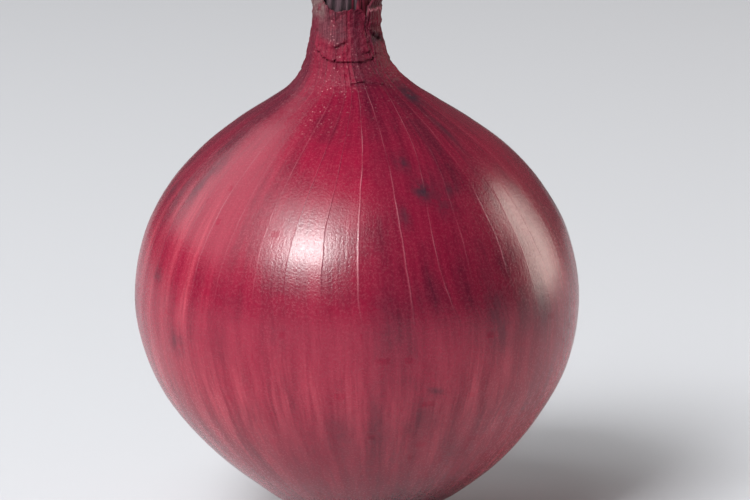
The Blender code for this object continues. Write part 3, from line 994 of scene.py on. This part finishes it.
# Withered leaf paper: dull and fibrous, grey-brown with dark gaps between its fibres, wine red where
# the leaf dried last, and straw-coloured at the torn tips.
tree, shader = new_material(leaves, "withered leaf paper")
place = add_node(tree, "ShaderNodeAttribute", attribute_name="leaf_place").outputs["Vector"]
thing = add_node(tree, "ShaderNodeTexCoord").outputs["Object"]
redness = add_node(tree, "ShaderNodeAttribute", attribute_name="redness").outputs["Fac"]
along_leaf = add_node(tree, "ShaderNodeAttribute", attribute_name="along").outputs["Fac"]
# Fibres about 0.14 mm wide and 2 mm long, blotches about 0.5 mm across
fibres = add_node(tree, "ShaderNodeMapping", {"Vector": place, "Scale": (10, 1, 0.55)}).outputs[0]
fibre_noise, blotch_noise = (
    add_node(
        tree, "ShaderNodeTexNoise", {"Vector": where, "Scale": scale, "Detail": 4.0, "Roughness": 0.6}
    ).outputs[0]
    for where, scale in ((fibres, 1.0), (thing, 1000 / 0.5))
)
stripe = add_node(
    tree,
    "ShaderNodeMapRange",
    {"Value": fibre_noise, "From Min": 0.38, "From Max": 0.64},
    interpolation_type="SMOOTHSTEP",
).outputs[0]
brown, wine = (
    add_node(
        tree, "ShaderNodeMix", {0: stripe, 6: linear(dark), 7: linear(light)}, data_type="RGBA"
    ).outputs[2]
    for dark, light in (("#150f12", "#44353b"), ("#340b17", "#681a2b"))
)
paper_colour = add_node(tree, "ShaderNodeMix", {0: redness, 6: brown, 7: wine}, data_type="RGBA").outputs[2]
tip = add_node(
    tree,
    "ShaderNodeMapRange",
    {"Value": along_leaf, "From Min": 0.78, "From Max": 1.0, "To Max": 0.75},
    interpolation_type="SMOOTHSTEP",
).outputs[0]
ragged_tip = add_node(tree, "ShaderNodeMath", {0: tip, 1: blotch_noise}, operation="MULTIPLY").outputs[0]
paper_colour = add_node(
    tree, "ShaderNodeMix", {0: ragged_tip, 6: paper_colour, 7: linear("#b39a80")}, data_type="RGBA"
).outputs[2]
tree.links.new(paper_colour, shader.inputs["Base Color"])
shader.inputs["Roughness"].default_value = 0.68
shader.inputs["IOR"].default_value = 1.25
relief = add_node(
    tree, "ShaderNodeBump", {"Height": fibre_noise, "Distance": 0.03 * MM, "Strength": 1.0}
).outputs[0]
relief = add_node(
    tree, "ShaderNodeBump", {"Height": blotch_noise, "Distance": 0.02 * MM, "Strength": 0.8, "Normal": relief}
).outputs[0]
tree.links.new(relief, shader.inputs["Normal"])

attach(leaves, "root")
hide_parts("neck_leaves")


# Root plate: the flat corky stem at the foot of the bulb, brown and cracked, from which the roots grow.
# It sits in the hollow under the skin, and the bulb stands on it.

# The rim of the plate: height and radius. Inside it are rings at these radii on both faces.
PLATE_OUTLINE = (
    (0.00, 2.30),
    (0.08, 2.48),
    (0.30, 2.68),
    (0.55, 2.77),
    (0.80, 2.80),
    (1.02, 2.74),
    (1.20, 2.62),
    (1.42, 2.20),
)
UNDERSIDE_RADII = (0.0, 0.55, 1.10, 1.60, 2.0)
UPPER_RADII = (1.3, 0.0)
PLATE_COLUMNS = 120

plate_rings = [Vector((radius, 0.0)) for radius in UNDERSIDE_RADII]
plate_rings += [Vector((radius, height)) for height, radius in PLATE_OUTLINE]
plate_rings += [Vector((radius, PLATE_OUTLINE[-1][0])) for radius in UPPER_RADII]
plate = spin_outline("root_plate_cork", plate_rings, PLATE_COLUMNS)
plate.data.attributes.remove(plate.data.attributes["ring"])
for vert in plate.data.vertices:
    where = vert.co / MM
    swell = noise.noise(where * 1.4 + Vector((5.0, 0.0, 0.0)))
    grit = noise.noise(where * 4.5) + 0.5 * noise.noise(where * 11.0)
    from_axis = math.hypot(where.x, where.y)
    out = 1 + 0.03 * swell + 0.02 * grit * smooth_step(from_axis - 1.4)
    lift = 0.05 * max(0.0, grit) * smooth_step(from_axis - 0.3) if where.z < 0.01 else 0.0
    vert.co = Vector((where.x * out, where.y * out, where.z + lift)) * MM
bpy.ops.object.shade_smooth_by_angle(angle=math.radians(50))

# Cork: dead, dull tissue in straw and umber, finely cracked and gritty with clinging soil.
tree, shader = new_material(plate, "corky stem tissue")
thing = add_node(tree, "ShaderNodeTexCoord").outputs["Object"]
# Lumps 0.6 mm across and grit 0.12 mm across
lumps, grit_noise = (
    add_node(
        tree,
        "ShaderNodeTexNoise",
        {"Vector": thing, "Scale": 1000 / size, "Detail": detail, "Roughness": roughness},
    ).outputs[0]
    for size, detail, roughness in ((0.6, 5.0, 0.65), (0.12, 3.0, 0.7))
)
tone = add_node(
    tree,
    "ShaderNodeMapRange",
    {"Value": lumps, "From Min": 0.36, "From Max": 0.66},
    interpolation_type="SMOOTHSTEP",
).outputs[0]
speck = add_node(
    tree, "ShaderNodeMapRange", {"Value": grit_noise, "From Min": 0.56, "From Max": 0.66, "To Max": 0.6}
).outputs[0]
cork = linear("#5e4632")
for share, over in ((tone, "#b09672"), (speck, "#3d2c20")):
    cork = add_node(tree, "ShaderNodeMix", {0: share, 6: cork, 7: linear(over)}, data_type="RGBA").outputs[2]
tree.links.new(cork, shader.inputs["Base Color"])
shader.inputs["Roughness"].default_value = 0.88
relief = add_node(
    tree, "ShaderNodeBump", {"Height": lumps, "Distance": 0.12 * MM, "Strength": 1.0}
).outputs[0]
relief = add_node(
    tree, "ShaderNodeBump", {"Height": grit_noise, "Distance": 0.03 * MM, "Strength": 1.0, "Normal": relief}
).outputs[0]
tree.links.new(relief, shader.inputs["Normal"])

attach(plate, "root")
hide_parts("root_plate")


# Roots: last season's roots, cut short and dried to thin brown strings that spread from the plate just
# above the ground, with finer broken rootlets between them.

ROOT_COUNT = 28
ROOTLET_COUNT = 54
ROOT_FOOT_RADIUS = 1.7
ROOT_STEPS = 14
ROOTLET_STEPS = 9
LOWEST_ROOT_HEIGHT = 0.13
# The range of reach from the axis, the height at the plate, the range of height of the tips
UPPER_ROOTS = ((3.5, 4.6), 0.66, (0.28, 0.62))
LOWER_ROOTS = ((2.9, 3.8), 0.34, (0.22, 0.30))
ROOT_THICKNESS = 0.30
ROOTLET_THICKNESS = 0.13

route_draw = random.Random(23)
wriggle_draw = random.Random(41)
routes = []
for number in range(ROOT_COUNT):
    reach, start, end = LOWER_ROOTS if number % 3 == 2 else UPPER_ROOTS
    azimuth = (number + route_draw.uniform(-0.3, 0.3)) / ROOT_COUNT * 360
    swerve = math.degrees(route_draw.uniform(-0.35, 0.35))
    length = route_draw.uniform(*reach) - ROOT_FOOT_RADIUS
    sag = route_draw.uniform(*end) - start
    thickness = ROOT_THICKNESS * wriggle_draw.uniform(0.8, 1.1)
    routes.append((azimuth, swerve, length, start, sag, thickness, 0.6, ROOT_STEPS))
for number in range(ROOTLET_COUNT):
    azimuth = wriggle_draw.uniform(0, 360)
    swerve = wriggle_draw.uniform(-34, 34)
    length = wriggle_draw.uniform(1.3, 2.3)
    start = wriggle_draw.uniform(0.25, 0.95)
    sag = wriggle_draw.uniform(0.14, 0.50) - start
    thickness = ROOTLET_THICKNESS * wriggle_draw.uniform(0.7, 1.3)
    routes.append((azimuth, swerve, length, start, sag, thickness, 1.0, ROOTLET_STEPS))

strings = bpy.data.curves.new("dried_roots", "CURVE")
strings.dimensions = "3D"
strings.bevel_depth = 1.0
strings.bevel_resolution = 1
strings.use_fill_caps = True
for number, (azimuth, swerve, length, start, sag, thickness, waver, steps) in enumerate(routes):
    spline = strings.splines.new("POLY")
    spline.points.add(steps)
    for step, point in enumerate(spline.points):
        share = step / steps
        loose = waver * smooth_step(share * 2)
        sway = 0.16 * loose * noise.noise(Vector((share * 3.5, number * 7.0, 0.0)))
        bob = 0.10 * loose * noise.noise(Vector((share * 3.5, number * 7.0, 5.0)))
        radius = ROOT_FOOT_RADIUS + length * share
        turn = math.radians(azimuth + swerve * share * share) + sway / radius * 2
        height = max(start + sag * share * share + bob, LOWEST_ROOT_HEIGHT)
        knobbly = 1 + 0.18 * noise.noise(Vector((share * 9.0, number * 3.0, 9.0)))
        half = thickness / 2 * (1 - 0.62 * share) * knobbly
        point.co = (radius * math.sin(turn) * MM, -radius * math.cos(turn) * MM, height * MM, 1.0)
        point.radius = half * MM
roots = bpy.data.objects.new("dried_roots", strings)
bpy.context.scene.collection.objects.link(roots)
pick(roots)
bpy.ops.object.convert(target="MESH")
roots = bpy.context.object
bpy.ops.object.mode_set(mode="EDIT")
bpy.ops.mesh.select_all(action="SELECT")
bpy.ops.mesh.remove_doubles(threshold=WELD_DISTANCE / 2)
bpy.ops.mesh.normals_make_consistent(inside=False)
bpy.ops.object.mode_set(mode="OBJECT")
bpy.ops.object.shade_smooth_by_angle(angle=SMOOTH_ANGLE)
roots.name = roots.data.name = "dried_roots"

# Dried root: stringy, dull straw that darkens to umber in places, wrinkled along its length.
tree, shader = new_material(roots, "dried root fibre")
thing = add_node(tree, "ShaderNodeTexCoord").outputs["Object"]
# Patches 0.9 mm long and wrinkles 0.1 mm across
patches, wrinkles = (
    add_node(
        tree,
        "ShaderNodeTexNoise",
        {"Vector": thing, "Scale": 1000 / size, "Detail": detail, "Roughness": 0.6},
    ).outputs[0]
    for size, detail in ((0.9, 4.0), (0.1, 2.0))
)
tone = add_node(
    tree,
    "ShaderNodeMapRange",
    {"Value": patches, "From Min": 0.34, "From Max": 0.66},
    interpolation_type="SMOOTHSTEP",
).outputs[0]
straw = add_node(
    tree, "ShaderNodeMix", {0: tone, 6: linear("#7a5a3a"), 7: linear("#cdb58c")}, data_type="RGBA"
).outputs[2]
tree.links.new(straw, shader.inputs["Base Color"])
shader.inputs["Roughness"].default_value = 0.80
relief = add_node(
    tree, "ShaderNodeBump", {"Height": wrinkles, "Distance": 0.02 * MM, "Strength": 1.0}
).outputs[0]
tree.links.new(relief, shader.inputs["Normal"])

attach(roots, "root")
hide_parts("root_plate")


# Studio: a pale grey board for the floor, a small square lamp in front of a larger soft box at the front
# left, a broad soft box at the left, a tall one behind the right, and a faint even light all round.

bpy.ops.object.select_all(action="DESELECT")
bpy.ops.mesh.primitive_plane_add(size=4.0)
floor = bpy.context.object
floor.name = floor.data.name = "floor"
# Board: painted pale grey and matt, so that it mirrors next to nothing
tree, shader = new_material(floor, "matt grey board")
shader.inputs["Base Color"].default_value = linear("#b4b6ba")
shader.inputs["Roughness"].default_value = 0.75
shader.inputs["Specular IOR Level"].default_value = 0.2

LIGHT_TARGET = Vector((0.0, 0.0, 14.0)) * MM


def add_lamp(name, azimuth, elevation, distance, size, power, colour="#ffffff"):
    """A square or oblong soft box at an azimuth and elevation, facing the bulb; sizes in millimetres."""
    turn, rise = math.radians(azimuth), math.radians(elevation)
    way = Vector((math.sin(turn) * math.cos(rise), -math.cos(turn) * math.cos(rise), math.sin(rise)))
    lamp = bpy.data.lights.new(name, "AREA")
    lamp.shape = "RECTANGLE"
    lamp.size, lamp.size_y = (s * MM for s in size)
    lamp.energy = power
    lamp.color = linear(colour)[:3]
    holder = bpy.data.objects.new(name, lamp)
    holder.location = LIGHT_TARGET + way * distance * MM
    holder.rotation_euler = way.to_track_quat("Z", "Y").to_euler()
    bpy.context.scene.collection.objects.link(holder)


add_lamp("key_bulb", -30, 38, 800, (300, 300), 9.2)
add_lamp("key_box", -35, 44, 810, (600, 700), 5.3)
add_lamp("left_box", -102, 38, 850, (1100, 700), 4.1)
add_lamp("right_box", 117, 15, 750, (270, 500), 3.2, "#fff0e4")

world = bpy.data.worlds.new("studio")
bpy.context.scene.world = world
world.use_nodes = True
background = world.node_tree.nodes["Background"]
background.inputs["Color"].default_value = linear("#eef1f5")
background.inputs["Strength"].default_value = 0.11

CAMERA_ELEVATION = math.radians(10)
CAMERA_DISTANCE = 240.0
CAMERA_AIM = Vector((0.68, 0.08, 15.4))
sight = Vector((0.0, -math.cos(CAMERA_ELEVATION), math.sin(CAMERA_ELEVATION)))
camera_data = bpy.data.cameras.new("camera")
camera_data.sensor_width = 36.0
camera_data.lens = 212.5
camera_data.clip_start = 0.01
camera_data.clip_end = 20.0
camera = bpy.data.objects.new("camera", camera_data)
camera.location = (CAMERA_AIM + sight * CAMERA_DISTANCE) * MM
camera.rotation_euler = sight.to_track_quat("Z", "Y").to_euler()
bpy.context.scene.collection.objects.link(camera)
bpy.context.scene.camera = camera
bpy.context.scene.view_settings.view_transform = "Standard"
